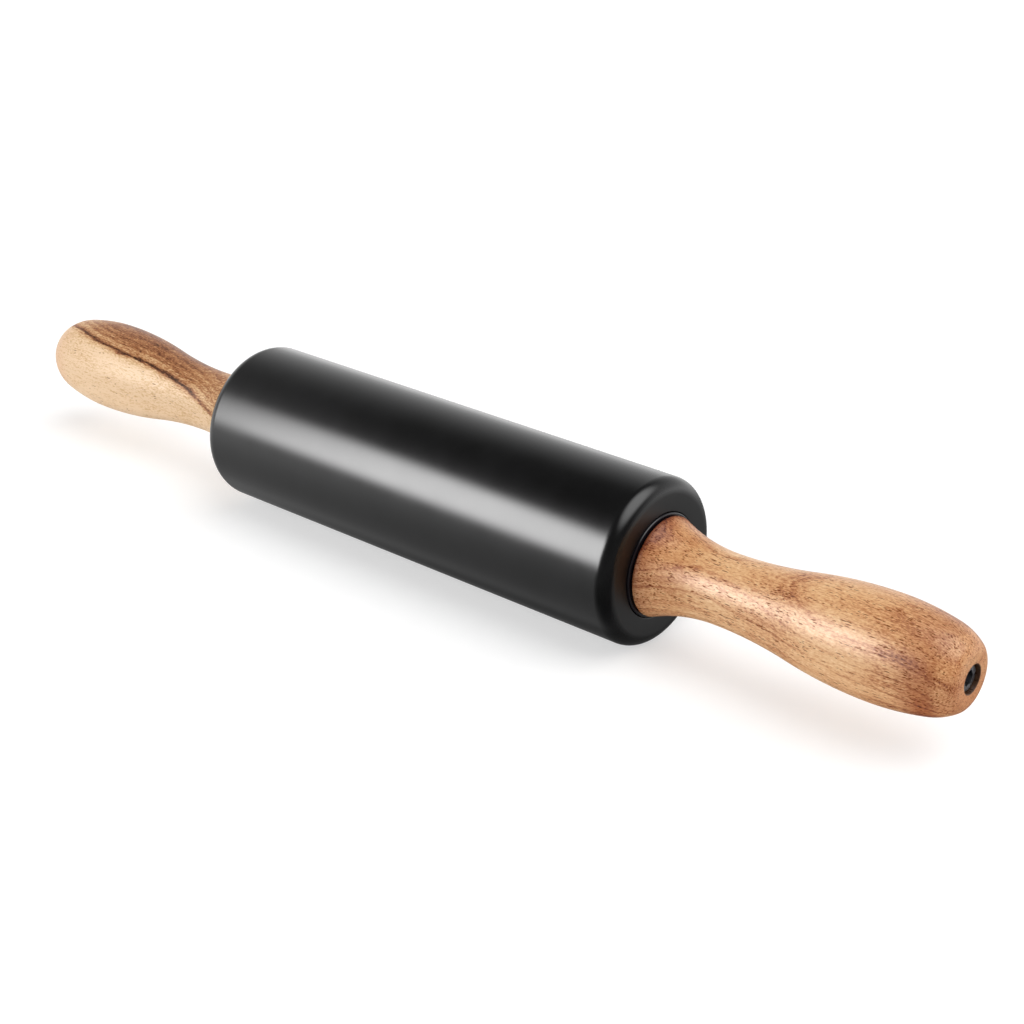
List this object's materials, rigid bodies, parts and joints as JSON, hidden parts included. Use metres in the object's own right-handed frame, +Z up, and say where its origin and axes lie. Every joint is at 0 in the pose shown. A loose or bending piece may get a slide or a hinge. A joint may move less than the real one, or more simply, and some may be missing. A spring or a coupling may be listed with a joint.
{
  "type": "marble rolling pin",
  "caption": "Rolling pin with a honed black marble barrel that spins on a steel axle between turned acacia handles.",
  "frame": {"origin": "on the axle in the middle of the barrel, the centre of the whole pin's box", "axes": "+X along the axle towards the right handle, +Z up; the pin lies with its barrel on a surface at Z = -31.5 mm"},
  "size_m": [0.4522, 0.063, 0.063],
  "materials": {
    "black_marble": "honed to a satin sheen",
    "acacia": "turned, sanded and oiled",
    "black_nylon": "moulded, satin",
    "steel": "turned, bright"
  },
  "bodies": {
    "handle_set": {"axle_rod": "steel", "left_handle": "acacia", "left_thrust_washer": "steel", "left_seat_washer": "steel", "left_end_nut": "steel", "right_handle": "acacia", "right_thrust_washer": "steel", "right_seat_washer": "steel", "right_end_nut": "steel"},
    "barrel": {"marble_barrel": "black_marble", "left_bush": "black_nylon", "right_bush": "black_nylon"}
  },
  "joints": [
    {"name": "barrel_spin", "type": "hinge", "parent": "handle_set", "child": "barrel", "pos_m": [0, 0, 0], "axis": [1, 0, 0], "continuous": true}
  ]
}
